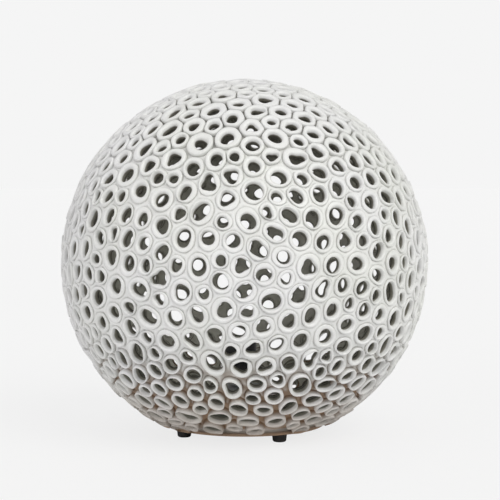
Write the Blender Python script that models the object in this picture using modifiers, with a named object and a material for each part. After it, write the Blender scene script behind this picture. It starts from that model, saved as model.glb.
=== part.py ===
"""A pierced ceramic globe lamp, as a Blender model of its separate pieces.

The globe is one stoneware shell on four rubber feet, with an access hole in its flat base.
A drawn steel pan closes that hole from below and carries the lampholder on a threaded tube.
Three thumb screws, in rubber well nuts set in the ceramic, hold the pan up against the base.

Units are metres and +Z is up. The origin is on the floor, under the centre of the globe.
Most heights below are counted from the underside of the ceramic base, in millimetres.
"""

import math

import bmesh
import bpy
import numpy as np
from mathutils import Matrix, Vector

MM = 0.001
GAP = 0.3  # between pieces that touch

# Globe
GLOBE_RADIUS = 198.0
GLOBE_WALL = 8.0
CENTRE_HEIGHT = 177.0  # of the globe's centre above its flat base
HOLE_COUNT = 372
HOLE_REACH = 11.6  # from a hole's centre to its corners
HOLE_SPREAD = 0.13  # how far hole sizes differ, as a share
HOLE_SEED = 7
RELAX_STEPS = 30
BASE_EDGE_POINTS = 24
ACCESS_RADIUS = 43.0
OFF_CENTRE = -5.0  # of the access hole and all it carries, along X

# Feet
FOOT_HEIGHT = 9.0
FOOT_RADIUS = 8.0
FOOT_CIRCLE = 74.5
FOOT_COUNT = 4
FIRST_FOOT = 29.6  # degrees from +X

# Fixings that hold the pan
FIXING_CIRCLE = 53.0
FIXING_COUNT = 3
FIXING_BORE = 4.75
FIRST_FIXING = 71.0  # degrees from +X

# Pan, in pressed sheet
SHEET = 1.2
FLANGE_RADIUS = 60.0
FLANGE_HEIGHT = -2.4  # the middle of the sheet
PAN_MOUTH = 40.2
PAN_TOP_RADIUS = 26.0
PAN_TOP = 41.4  # the middle of the sheet

# Lampholder, for an E27 cap
TUBE_RADIUS = 4.9
TUBE_BORE = 3.75
HOLDER_RADIUS = 18.0
HOLDER_BOTTOM = 47.4
HOLDER_JOIN = 67.0  # where the cap ends and the body begins
HOLDER_TOP = 95.0
THREAD_PITCH = 3.62
THREAD_ROOT = 13.5
THREAD_CREST = 12.45
SHELL_SHEET = 0.45
SHELL_BOTTOM = 72.3
SHELL_TURNS = 5
SHELL_RIVET = 10.2  # along X from the axis
LEAF_RIVET = -5.0

ROUND = 32
SMALL_ROUND = 16
TINY_ROUND = 12

part_collection = bpy.data.collections.new("pierced_globe_lamp")
cutter_collection = bpy.data.collections.new("cutters")


def clear_scene():
    for old in list(bpy.data.objects):
        bpy.data.objects.remove(old, do_unlink=True)
    for collection in (part_collection, cutter_collection):
        bpy.context.scene.collection.children.link(collection)


def material(name, colour, roughness, metallic=0.0):
    made = bpy.data.materials.new(name)
    made.use_nodes = True
    shader = made.node_tree.nodes["Principled BSDF"]
    shader.inputs["Base Color"].default_value = (*colour, 1.0)
    shader.inputs["Roughness"].default_value = roughness
    shader.inputs["Metallic"].default_value = metallic
    return made


def empty(name, location, parent=None):
    made = bpy.data.objects.new(name, None)
    made.empty_display_size = 0.02
    made.location = Vector(location) * MM
    made.parent = parent
    part_collection.objects.link(made)
    return made


def add_object(name, mesh, finish, parent=None, location=(0, 0, 0)):
    """Puts a mesh in the part, at a place in millimetres from its parent."""
    made = bpy.data.objects.new(name, mesh)
    made.parent = parent
    made.location = Vector(location) * MM
    mesh.materials.clear()
    mesh.materials.append(finish)
    mesh.shade_smooth()
    mesh.set_sharp_from_angle(angle=math.radians(35))
    part_collection.objects.link(made)
    return made


def mesh_from(shape, name):
    """A mesh from a bmesh in millimetres."""
    bmesh.ops.scale(shape, vec=(MM, MM, MM), verts=shape.verts)
    mesh = bpy.data.meshes.new(name)
    shape.to_mesh(mesh)
    shape.free()
    return mesh


def turned(name, outline, steps, finish, parent=None, location=(0, 0, 0)):
    """A turned piece. Its outline of (radius, height) runs down the outer side.

    An outline that starts and ends on the axis is solid, and any other is a closed ring.
    """
    on_axis = outline[0][0] == 0 and outline[-1][0] == 0
    shape = bmesh.new()
    corners = [shape.verts.new((radius, 0, height)) for radius, height in outline]
    for first, second in zip(corners, corners[1:]):
        shape.edges.new((first, second))
    if not on_axis:
        shape.edges.new((corners[-1], corners[0]))
    made = add_object(name, mesh_from(shape, name), finish, parent, location)
    screw = made.modifiers.new("turn", "SCREW")
    screw.axis = "Z"
    screw.steps = steps
    screw.render_steps = steps
    screw.use_merge_vertices = True
    screw.merge_threshold = 1e-6
    return made


def prism(radius, height, sides, name, turn=0.0):
    """An upright prism standing on z = 0, with a corner at the given turn from +X."""
    shape = bmesh.new()
    place = Matrix.Translation((0, 0, height / 2)) @ Matrix.Rotation(turn, 4, "Z")
    bmesh.ops.create_cone(
        shape, cap_ends=True, segments=sides, radius1=radius, radius2=radius, depth=height, matrix=place
    )
    return mesh_from(shape, name)


def box_mesh(size, name):
    shape = bmesh.new()
    bmesh.ops.create_cube(shape, size=1.0, matrix=Matrix.Diagonal((*size, 1.0)))
    return mesh_from(shape, name)


def cut(target, mesh, parent, location, rotation=(0, 0, 0)):
    """Takes the shape of a mesh out of a piece."""
    cutter = bpy.data.objects.new("cut_" + target.name, mesh)
    cutter.parent = parent
    cutter.location = Vector(location) * MM
    cutter.rotation_euler = rotation
    cutter.hide_render = True
    cutter.display_type = "WIRE"
    cutter_collection.objects.link(cutter)
    boolean = target.modifiers.new("cut", "BOOLEAN")
    boolean.operation = "DIFFERENCE"
    boolean.solver = "EXACT"
    boolean.object = cutter


def around(count, radius, first):
    """Places evenly round a circle, in millimetres, from a first angle in degrees."""
    for k in range(count):
        angle = math.radians(first + 360.0 * k / count)
        yield radius * math.cos(angle), radius * math.sin(angle)


def arc(centre, radius, start, end, steps):
    """Points (radius, height) along an arc, from one angle to another in degrees."""
    for k in range(steps + 1):
        angle = math.radians(start + (end - start) * k / steps)
        yield centre[0] + radius * math.cos(angle), centre[1] + radius * math.sin(angle)


# ---------------------------------------------------------------- globe


def base_edge():
    """Fixed points on a unit sphere, round the edge of the flat base."""
    low = -CENTRE_HEIGHT / GLOBE_RADIUS
    radius = math.sqrt(1 - low * low)
    ring = [(x, y, low) for x, y in around(BASE_EDGE_POINTS, radius, 0.0)]
    return np.array(ring)


def hole_centres(edge):
    """Points on a unit sphere above the base, strewn by chance and then pushed apart."""
    chance = np.random.default_rng(HOLE_SEED)
    low = edge[0, 2]
    heights = low + (1 - low) * (np.arange(HOLE_COUNT) + 0.5) / HOLE_COUNT
    turns = chance.uniform(0, 2 * math.pi, HOLE_COUNT)
    radii = np.sqrt(1 - heights**2)
    points = np.stack([radii * np.cos(turns), radii * np.sin(turns), heights], axis=1)
    spacing = math.sqrt(2 * math.pi * (1 - low) / HOLE_COUNT / 0.866)
    for _ in range(RELAX_STEPS):
        others = np.concatenate([points, edge])
        away = points[:, None, :] - others[None, :, :]
        distance = np.linalg.norm(away, axis=2) + 1e-9
        push = np.clip(1.25 * spacing - distance, 0, None) * (distance > 1e-6)
        points = points + 0.28 * (away / distance[..., None] * push[..., None]).sum(axis=1)
        points /= np.linalg.norm(points, axis=1, keepdims=True)
    return points


def pierced_surface():
    """The outer face of the globe: a hull over the hole centres, with each centre cut off."""
    edge = base_edge()
    centres = hole_centres(edge)
    shape = bmesh.new()
    for point in centres:
        shape.verts.new(Vector(point) * GLOBE_RADIUS)
    for point in edge:
        shape.verts.new(Vector(point) * GLOBE_RADIUS)
    bmesh.ops.convex_hull(shape, input=shape.verts)
    shape.verts.ensure_lookup_table()
    pierced = shape.verts[:HOLE_COUNT]
    made = bmesh.ops.bevel(
        shape,
        geom=pierced,
        offset=HOLE_REACH,
        offset_type="OFFSET",
        segments=1,
        affect="VERTICES",
        clamp_overlap=True,
    )
    chance = np.random.default_rng(HOLE_SEED)
    for hole in made["faces"]:
        middle = hole.calc_center_median()
        share = chance.uniform(1 - HOLE_SPREAD, 1 + HOLE_SPREAD)
        for corner in hole.verts:
            corner.co = middle + (corner.co - middle) * share
    bmesh.ops.delete(shape, geom=made["faces"], context="FACES_ONLY")
    for vertex in shape.verts:
        vertex.co = vertex.co.normalized() * GLOBE_RADIUS
    bmesh.ops.recalc_face_normals(shape, faces=shape.faces)
    return shape


def make_globe(base, opening, finish):
    mesh = mesh_from(pierced_surface(), "ceramic_globe")
    globe = add_object("ceramic_globe", mesh, finish, base, (0, 0, CENTRE_HEIGHT))
    wall = globe.modifiers.new("wall", "SOLIDIFY")
    wall.thickness = GLOBE_WALL * MM
    wall.offset = -1
    wall.use_even_offset = True
    below = -GLOBE_WALL
    depth = 3 * GLOBE_WALL
    cut(globe, prism(ACCESS_RADIUS, depth, 48, "access_hole"), opening, (0, 0, below))
    for x, y in around(FIXING_COUNT, FIXING_CIRCLE, FIRST_FIXING):
        bore = prism(FIXING_BORE, depth, SMALL_ROUND, "fixing_hole")
        cut(globe, bore, opening, (x, y, below))


def make_feet(base, rubber):
    """Self-adhesive rubber bumpers, a little narrower and rounded at the bottom."""
    names = ("back_right", "back_left", "front_left", "front_right")
    edge = 2.2
    outline = [(0, -GAP), (FOOT_RADIUS, -GAP), (FOOT_RADIUS - 0.7, edge - FOOT_HEIGHT)]
    outline += list(arc((FOOT_RADIUS - 0.7 - edge, edge - FOOT_HEIGHT), edge, -30, -90, 2))
    outline += [(0, -FOOT_HEIGHT)]
    for name, (x, y) in zip(names, around(FOOT_COUNT, FOOT_CIRCLE, FIRST_FOOT)):
        turned("foot_" + name, outline, 20, rubber, base, (x, y, 0))


# ---------------------------------------------------------------- pan and its fixings


def make_well_nuts(opening, rubber, brass):
    """Rubber sleeves in the ceramic, each with a threaded brass nut in its upper end."""
    sleeve = [(4.45, 12.0), (4.45, -GAP), (6.0, -GAP), (6.0, -1.4), (2.3, -1.4)]
    sleeve += [(2.3, 5.7), (3.3, 5.7), (3.3, 12.0)]
    nut = [(3.0, 11.6), (3.0, 6.0), (2.25, 6.0), (2.25, 11.6)]
    for number, (x, y) in enumerate(around(FIXING_COUNT, FIXING_CIRCLE, FIRST_FIXING), 1):
        turned(f"well_nut_sleeve_{number}", sleeve, SMALL_ROUND, rubber, opening, (x, y, 0))
        turned(f"well_nut_insert_{number}", nut, TINY_ROUND, brass, opening, (x, y, 0))


def make_pan(lamp_base, steel):
    """The drawn pan: a flange under the ceramic, a tapered wall and a flat top."""
    bend = 4.0
    slope = math.degrees(math.atan2(PAN_MOUTH - PAN_TOP_RADIUS, PAN_TOP - FLANGE_HEIGHT))
    top = list(arc((PAN_TOP_RADIUS - bend, PAN_TOP - bend), bend, 90, slope, 3))
    foot = list(arc((PAN_MOUTH + bend, FLANGE_HEIGHT + bend), bend, 180 + slope, 270, 3))
    outline = [(TUBE_RADIUS + 0.4, PAN_TOP)] + top + foot + [(FLANGE_RADIUS, FLANGE_HEIGHT)]
    shape = bmesh.new()
    corners = [shape.verts.new((radius, 0, height)) for radius, height in outline]
    for first, second in zip(corners, corners[1:]):
        shape.edges.new((first, second))
    pan = add_object("base_pan", mesh_from(shape, "base_pan"), steel, lamp_base)
    screw = pan.modifiers.new("turn", "SCREW")
    screw.axis = "Z"
    screw.steps = 36
    screw.render_steps = 36
    screw.use_merge_vertices = True
    screw.merge_threshold = 1e-6
    wall = pan.modifiers.new("sheet", "SOLIDIFY")
    wall.thickness = SHEET * MM
    wall.offset = 0
    for x, y in around(FIXING_COUNT, FIXING_CIRCLE, FIRST_FIXING):
        cut(pan, prism(2.6, 10, TINY_ROUND, "screw_hole"), lamp_base, (x, y, FLANGE_HEIGHT - 5))


def make_gasket(lamp_base, foam):
    outline = [(FLANGE_RADIUS - 0.6, -GAP), (FLANGE_RADIUS - 0.6, -1.5), (45.0, -1.5), (45.0, -GAP)]
    gasket = turned("flange_gasket", outline, 36, foam, lamp_base)
    for x, y in around(FIXING_COUNT, FIXING_CIRCLE, FIRST_FIXING):
        cut(gasket, prism(6.4, 10, TINY_ROUND, "gasket_hole"), lamp_base, (x, y, -6))


def make_thumb_screws(lamp_base, steel):
    """M4 screws with wide knurled heads, each with its origin on its own axis."""
    head = 6.0
    outline = [(0, 11.0), (1.95, 11.0), (1.95, -3.3), (head - 0.5, -3.3), (head, -3.8)]
    outline += [(head, -5.8), (head - 0.5, -6.3), (0, -6.3)]
    for number, (x, y) in enumerate(around(FIXING_COUNT, FIXING_CIRCLE, FIRST_FIXING), 1):
        turned(f"thumb_screw_{number}", outline, SMALL_ROUND, steel, lamp_base, (x, y, 0))


# ---------------------------------------------------------------- tube, nuts and washers


def hex_nut(name, bottom, thickness, across, lamp_base, finish):
    corner = across / math.sqrt(3)
    nut = add_object(name, prism(corner, thickness, 6, name), finish, lamp_base, (0, 0, bottom))
    bore = prism(TUBE_RADIUS + GAP, thickness * 3, SMALL_ROUND, "nut_bore")
    cut(nut, bore, lamp_base, (0, 0, bottom - thickness))


def make_tube_and_nuts(lamp_base, steel, nylon):
    """The threaded tube through the pan, clamped by a nut above and a nut below."""
    tube = [(TUBE_RADIUS, 56.0), (TUBE_RADIUS, 30.0), (TUBE_BORE, 30.0), (TUBE_BORE, 56.0)]
    turned("threaded_tube", tube, SMALL_ROUND, steel, lamp_base)
    bore = TUBE_RADIUS + GAP
    washer = [(10.5, 43.4), (10.5, 42.3), (bore, 42.3), (bore, 43.4)]
    turned("plain_washer", washer, SMALL_ROUND, steel, lamp_base)
    hex_nut("upper_nut", 43.7, 3.4, 14.0, lamp_base, steel)
    hex_nut("lower_nut", 35.6, 3.5, 14.0, lamp_base, steel)
    lock = [(8.2, 40.5), (8.2, 39.4), (bore, 39.4), (bore, 40.5)]
    washer = turned("toothed_washer", lock, SMALL_ROUND, steel, lamp_base)
    for k in range(8):
        turn = math.radians(45 * k)
        place = (8.4 * math.cos(turn), 8.4 * math.sin(turn), 40)
        cut(washer, box_mesh((2.6, 1.3, 4), "washer_notch"), lamp_base, place, (0, 0, turn))
    bushing = [(6.6, 29.7), (6.6, 28.1), (5.9, 27.4), (3.6, 27.4), (3.1, 28.4), (3.1, 36.0)]
    bushing += [(3.45, 36.0), (3.45, 29.7)]
    turned("tube_bushing", bushing, SMALL_ROUND, nylon, lamp_base)


# ---------------------------------------------------------------- lampholder


def make_holder_cap(lamp_base, phenolic, steel):
    """The domed lower half, with a neck that takes the tube and a grub screw in its side."""
    rise = 9.5
    swell = HOLDER_RADIUS - 8.0
    dome = [
        (8.0 + swell * math.sin(t), 60.0 - rise * math.cos(t))
        for t in np.linspace(math.pi / 2, 0, 6)
    ]
    hollow = [
        (8.0 + (swell - 2) * math.sin(t), 61.0 - (rise - 1.9) * math.cos(t))
        for t in np.linspace(0, math.pi / 2, 5)
    ]
    neck = TUBE_RADIUS + GAP
    outline = [(HOLDER_RADIUS, HOLDER_JOIN)] + dome + [(8.0, HOLDER_BOTTOM), (neck, HOLDER_BOTTOM)]
    outline += [(neck, 53.4)] + hollow + [(16.5, 62.5), (16.5, HOLDER_JOIN)]
    cap = turned("holder_cap", outline, ROUND, phenolic, lamp_base)
    quarter = math.pi / 2
    hole = prism(1.7, 12, TINY_ROUND, "grub_hole")
    cut(cap, hole, lamp_base, (2.0, 0, 49.6), (0, quarter, 0))
    grub = add_object("holder_grub_screw", prism(1.4, 2.9, 8, "grub"), steel, lamp_base, (5.5, 0, 49.6))
    grub.rotation_euler.y = quarter


def make_holder_body(lamp_base, phenolic):
    """The upper half: a plain skirt with a rounded rim and a spigot that enters the cap."""
    rim = 1.1
    inside = 15.6
    lip = list(arc((HOLDER_RADIUS - rim, HOLDER_TOP - rim), rim, 135, 0, 4))
    outline = lip + [(HOLDER_RADIUS, HOLDER_JOIN + GAP), (16.2, HOLDER_JOIN + GAP), (16.2, 63.5)]
    outline += [(inside, 63.5), (inside, HOLDER_TOP - 0.8)]
    turned("holder_body", outline, ROUND, phenolic, lamp_base)


def make_insert(lamp_base, porcelain, brass, steel):
    """The porcelain disc that carries the contacts, with a terminal under each side."""
    height = 8.0
    bottom = 64.0
    disc = add_object("porcelain_insert", prism(15.2, height, 24, "insert"), porcelain, lamp_base)
    disc.location.z = bottom * MM
    for x in (SHELL_RIVET, LEAF_RIVET):
        cut(disc, prism(1.45, 3 * height, TINY_ROUND, "rivet_hole"), lamp_base, (x, 0, bottom - height))
    quarter = math.pi / 2
    for name, x in (("live", -7.5), ("neutral", 9.7)):
        place = (x, 0, 60.15)
        block = add_object(f"{name}_terminal", box_mesh((5.0, 6.0, 6.5), name), brass, lamp_base, place)
        bore = prism(1.5, 20, TINY_ROUND, "terminal_bore")
        cut(block, bore, lamp_base, (x, 10, 59.5), (quarter, 0, 0))
        screw = [(0, 5.0), (1.2, 5.0), (1.2, 0), (2.2, 0), (2.2, -1.7), (0, -1.7)]
        made = turned(f"{name}_terminal_screw", screw, TINY_ROUND, steel, lamp_base, (x, -3.4, 59.5))
        made.rotation_euler.x = -quarter


def make_contacts(lamp_base, plated, bronze):
    """The threaded shell, the springy centre contact and the rivets that hold them."""
    ridge = (THREAD_ROOT - THREAD_CREST) / 2
    middle = THREAD_ROOT - ridge
    steps_per_turn = 4
    points = SHELL_TURNS * steps_per_turn
    lowest = SHELL_BOTTOM + 3.0
    wave = [
        (middle + ridge * math.sin(2 * math.pi * k / steps_per_turn), lowest + THREAD_PITCH * k / steps_per_turn)
        for k in range(points + 1)
    ]
    outside = [(radius + SHELL_SHEET, height) for radius, height in reversed(wave)]
    floor = SHELL_BOTTOM + SHELL_SHEET
    base = [(middle, SHELL_BOTTOM), (8.0, SHELL_BOTTOM), (8.0, floor), (middle - 0.6, floor)]
    shell = turned("screw_shell", outside + base + wave, 20, plated, lamp_base)
    cut(shell, prism(1.45, 4, TINY_ROUND, "shell_hole"), lamp_base, (SHELL_RIVET, 0, SHELL_BOTTOM - 2))

    leaf = [(-2.0, 0.0), (2.6, 0.0), (4.8, 2.4), (7.8, 2.7), (7.8, 3.2), (4.6, 2.9), (2.4, 0.5)]
    leaf += [(-2.0, 0.5)]
    shape = bmesh.new()
    side = [shape.verts.new((x, -2.4, z)) for x, z in leaf]
    face = shape.faces.new(side)
    moved = bmesh.ops.extrude_face_region(shape, geom=[face])["geom"]
    bmesh.ops.translate(
        shape, vec=(0, 4.8, 0), verts=[v for v in moved if isinstance(v, bmesh.types.BMVert)]
    )
    bmesh.ops.recalc_face_normals(shape, faces=shape.faces)
    hinge = (LEAF_RIVET, 0, 72.3)
    contact = add_object("centre_contact", mesh_from(shape, "centre_contact"), bronze, lamp_base, hinge)
    cut(contact, prism(1.45, 4, TINY_ROUND, "leaf_hole"), lamp_base, (LEAF_RIVET, 0, 71.0))

    rivets = (("shell_rivet", SHELL_RIVET, floor + GAP), ("contact_rivet", LEAF_RIVET, 73.1))
    for name, x, seat in rivets:
        shank = 1.15
        outline = [(0, seat + 0.9), (1.1, seat + 0.7), (1.8, seat), (shank, seat)]
        outline += [(shank, 63.7), (0, 63.7)]
        turned(name, outline, TINY_ROUND, plated, lamp_base, (x, 0, 0))


def main():
    clear_scene()
    glaze = material("white_glaze", (0.80, 0.80, 0.77), 0.35)
    rubber = material("black_rubber", (0.012, 0.012, 0.012), 0.75)
    foam = material("black_foam", (0.02, 0.02, 0.02), 0.95)
    zinc = material("zinc_plate", (0.62, 0.63, 0.64), 0.38, 1.0)
    brass = material("brass", (0.72, 0.55, 0.25), 0.35, 1.0)
    nickel = material("nickel_plate", (0.66, 0.63, 0.57), 0.28, 1.0)
    bronze = material("spring_bronze", (0.68, 0.42, 0.22), 0.35, 1.0)
    phenolic = material("black_phenolic", (0.008, 0.008, 0.009), 0.3)
    nylon = material("black_nylon", (0.015, 0.015, 0.015), 0.5)
    porcelain = material("porcelain", (0.83, 0.82, 0.78), 0.25)

    base = empty("ceramic_base_plane", (0, 0, FOOT_HEIGHT))
    opening = empty("access_opening", (OFF_CENTRE, 0, 0), base)
    lamp_base = empty("lamp_base_slide", (0, 0, 0), opening)
    make_globe(base, opening, glaze)
    make_feet(base, rubber)
    make_well_nuts(opening, rubber, brass)
    make_pan(lamp_base, zinc)
    make_gasket(lamp_base, foam)
    make_thumb_screws(lamp_base, zinc)
    make_tube_and_nuts(lamp_base, zinc, nylon)
    make_holder_cap(lamp_base, phenolic, zinc)
    make_holder_body(lamp_base, phenolic)
    make_insert(lamp_base, porcelain, brass, zinc)
    make_contacts(lamp_base, nickel, bronze)


main()
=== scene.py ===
"""The pierced ceramic globe lamp, finished: glaze, clay, metal, rubber and phenolic.

Everything is in metres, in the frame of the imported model, with +Z up and the floor at z = 0.
"""

import math

import bmesh
import bpy
from mathutils import Matrix, Vector


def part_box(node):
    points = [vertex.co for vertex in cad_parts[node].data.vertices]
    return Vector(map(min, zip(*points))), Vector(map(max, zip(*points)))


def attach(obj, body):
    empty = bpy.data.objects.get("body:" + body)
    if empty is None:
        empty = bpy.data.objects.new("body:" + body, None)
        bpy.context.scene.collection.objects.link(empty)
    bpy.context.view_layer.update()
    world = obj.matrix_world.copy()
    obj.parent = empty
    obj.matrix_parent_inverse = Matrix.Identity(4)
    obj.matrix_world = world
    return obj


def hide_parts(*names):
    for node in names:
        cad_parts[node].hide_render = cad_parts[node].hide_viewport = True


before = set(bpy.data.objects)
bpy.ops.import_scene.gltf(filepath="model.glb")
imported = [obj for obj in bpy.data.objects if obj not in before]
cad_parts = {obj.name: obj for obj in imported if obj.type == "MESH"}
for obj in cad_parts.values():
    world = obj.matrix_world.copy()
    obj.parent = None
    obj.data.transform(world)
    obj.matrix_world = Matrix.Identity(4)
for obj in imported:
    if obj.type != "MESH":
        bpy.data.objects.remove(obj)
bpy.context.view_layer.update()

MM = 0.001
VECTOR = "FLOAT_VECTOR"

# ---------------------------------------------------------------- places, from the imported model

BASE_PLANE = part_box("ceramic_globe")[0].z
CENTRE = BASE_PLANE + 177.0 * MM
pan_low, pan_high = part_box("base_pan")
AXIS_X = (pan_low.x + pan_high.x) / 2
AXIS_Y = (pan_low.y + pan_high.y) / 2
FIXINGS = []
for number in (1, 2, 3):
    low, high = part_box(f"thumb_screw_{number}")
    FIXINGS.append(((low.x + high.x) / 2, (low.y + high.y) / 2))

# ---------------------------------------------------------------- building node trees


class Tree:
    """A node tree being built, with short ways to add nodes and to join them."""

    def __init__(self, tree):
        self.tree = tree

    def node(self, kind, inputs=None, **settings):
        made = self.tree.nodes.new(kind)
        for name, value in settings.items():
            setattr(made, name, value)
        for key, value in (inputs or {}).items():
            self.join(value, made.inputs[key])
        return made

    def join(self, value, socket):
        if isinstance(value, (list, tuple)) and value and isinstance(value[0], bpy.types.NodeSocket):
            for one in value:
                self.tree.links.new(one, socket)
        elif isinstance(value, bpy.types.NodeSocket):
            self.tree.links.new(value, socket)
        elif value is not None:
            socket.default_value = value

    def math(self, operation, *values):
        made = self.node("ShaderNodeMath", operation=operation)
        for socket, value in zip(made.inputs, values):
            self.join(value, socket)
        return made.outputs[0]

    def plus(self, first, second):
        return self.math("ADD", first, second)

    def minus(self, first, second):
        return self.math("SUBTRACT", first, second)

    def times(self, first, second):
        return self.math("MULTIPLY", first, second)

    def times_plus(self, first, second, third):
        """first times second, plus third."""
        return self.math("MULTIPLY_ADD", first, second, third)

    def over(self, first, second):
        return self.math("DIVIDE", first, second)

    def vector(self, operation, *values):
        made = self.node("ShaderNodeVectorMath", operation=operation)
        for socket, value in zip(made.inputs, values):
            self.join(value, socket)
        return made.outputs["Value" if operation in ("DOT_PRODUCT", "LENGTH") else "Vector"]

    def unit(self, vector):
        return self.vector("NORMALIZE", vector)

    def dot(self, first, second):
        return self.vector("DOT_PRODUCT", first, second)

    def scaled(self, vector, length):
        return self.node("ShaderNodeVectorMath", {0: vector, "Scale": length}, operation="SCALE").outputs[0]

    def mix(self, share, first, second):
        """first where share is 0 and second where it is 1."""
        return self.node("ShaderNodeMix", {0: share, 2: first, 3: second}, data_type="FLOAT").outputs[0]

    def mix_vector(self, share, first, second):
        return self.node("ShaderNodeMix", {0: share, 4: first, 5: second}, data_type="VECTOR").outputs[1]

    def mix_colour(self, share, first, second):
        first, second = [one + (1,) if isinstance(one, tuple) else one for one in (first, second)]
        return self.node("ShaderNodeMix", {0: share, 6: first, 7: second}, data_type="RGBA").outputs[2]

    def ramp(self, value, low, high, to_low=0.0, to_high=1.0):
        """Turns low..high smoothly into to_low..to_high, held at both ends."""
        made = self.node("ShaderNodeMapRange", interpolation_type="SMOOTHSTEP")
        for socket, one in zip(made.inputs, (value, low, high, to_low, to_high)):
            self.join(one, socket)
        return made.outputs[0]

    def split(self, vector):
        return self.node("ShaderNodeSeparateXYZ", {0: vector}).outputs

    def point(self, x, y, z):
        return self.node("ShaderNodeCombineXYZ", {0: x, 1: y, 2: z}).outputs[0]

    def noise(self, place, scale, detail=2.0, roughness=0.5):
        inputs = {"Vector": place, "Scale": scale, "Detail": detail, "Roughness": roughness}
        return self.node("ShaderNodeTexNoise", inputs).outputs[0]


class Geometry(Tree):
    """A geometry tree with one geometry going through it."""

    def __init__(self, name, inputs):
        super().__init__(bpy.data.node_groups.new(name, "GeometryNodeTree"))
        face = self.tree.interface
        face.new_socket("Geometry", in_out="OUTPUT", socket_type="NodeSocketGeometry")
        self.keys = {}
        for label, kind, value in inputs:
            socket = face.new_socket(label, in_out="INPUT", socket_type="NodeSocket" + kind)
            if value is not None:
                socket.default_value = value
            self.keys[label] = socket.identifier
        self.given = self.tree.nodes.new("NodeGroupInput").outputs

    def do(self, kind, inputs=None, **settings):
        """Adds a geometry node and gives its first output."""
        return self.node("GeometryNode" + kind, inputs, **settings).outputs[0]

    def store(self, geometry, name, value, kind="FLOAT", selection=None):
        inputs = {"Geometry": geometry, "Selection": selection, "Name": name, "Value": value}
        return self.do("StoreNamedAttribute", inputs, data_type=kind)

    def read(self, name, kind="FLOAT"):
        return self.do("InputNamedAttribute", {"Name": name}, data_type=kind)

    def on(self, domain, value, kind="FLOAT"):
        return self.do("FieldOnDomain", {0: value}, data_type=kind, domain=domain)

    def chance(self, low, high, seed):
        """A vector drawn by chance."""
        inputs = {0: low, 1: high, "Seed": seed}
        return self.node("FunctionNodeRandomValue", inputs, data_type=VECTOR).outputs[0]

    def profile(self, value, *heights):
        """Straight from each height to the next, as value goes from 0 to 1."""
        made = self.node("ShaderNodeFloatCurve", {"Value": value})
        low = min(heights)
        span = max(heights) - low
        points = [(k / (len(heights) - 1), (height - low) / span) for k, height in enumerate(heights)]
        line = made.mapping.curves[0]
        line.points[0].location = points[0]
        line.points[1].location = points[-1]
        for place in points[1:-1]:
            line.points.new(*place)
        for point in line.points:
            point.handle_type = "VECTOR"
        made.mapping.update()
        return self.times_plus(made.outputs[0], span, low)

    def finish(self, geometry, material):
        smooth = self.do("SetShadeSmooth", {0: geometry}, domain="FACE")
        real = self.do("RealizeInstances", {0: smooth})
        set_to = self.do("SetMaterial", {"Geometry": real, "Material": material})
        self.node("NodeGroupOutput", {0: set_to})


def add_object(name, data):
    made = bpy.data.objects.new(name, data)
    bpy.context.scene.collection.objects.link(made)
    return made


def add_mesh(name, shape):
    """An object with the faces of a bmesh, which is freed."""
    mesh = bpy.data.meshes.new(name)
    shape.to_mesh(mesh)
    shape.free()
    return add_object(name, mesh)


def result_of(piece):
    """A plain mesh of what an object's modifiers make of it."""
    bpy.context.view_layer.update()
    ready = piece.evaluated_get(bpy.context.evaluated_depsgraph_get())
    return bpy.data.meshes.new_from_object(ready)


def grow(name, geometry, source=None, **values):
    """Runs a geometry tree once, on the mesh source if it takes one, and returns a plain mesh object."""
    holder = add_object(name + "_holder", source or bpy.data.meshes.new(name + "_holder"))
    modifier = holder.modifiers.new("grow", "NODES")
    modifier.node_group = geometry.tree
    for label, value in values.items():
        modifier[geometry.keys[label.replace("_", " ")]] = value
    mesh = result_of(holder)
    mesh.name = name
    bpy.data.objects.remove(holder, do_unlink=True)
    return add_object(name, mesh)


# ---------------------------------------------------------------- the globe

PLATE_RADIUS = 0.0850
LOWEST_HOLE = 0.0048

GLOBE_INPUTS = [
    ("Radius", "Float", 0.197),
    ("Wall", "Float", 0.008),
    ("Base drop", "Float", 0.177),
    ("Hole spacing", "Float", 0.0197),
    ("Evening steps", "Int", 24),
    ("Ring share", "Float", 0.845),
    ("Hole share", "Float", 0.64),
    ("Ring height", "Float", 0.0016),
    ("Valley depth", "Float", 0.0072),
    ("Access radius", "Float", 0.043),
    ("Bore radius", "Float", 0.00475),
    ("Access x", "Float", 0.0),
    ("Seed", "Int", 4),
    ("Band low", "Float", -1.0),
    ("Band high", "Float", 1.0),
    ("Material", "Material", None),
]


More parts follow.
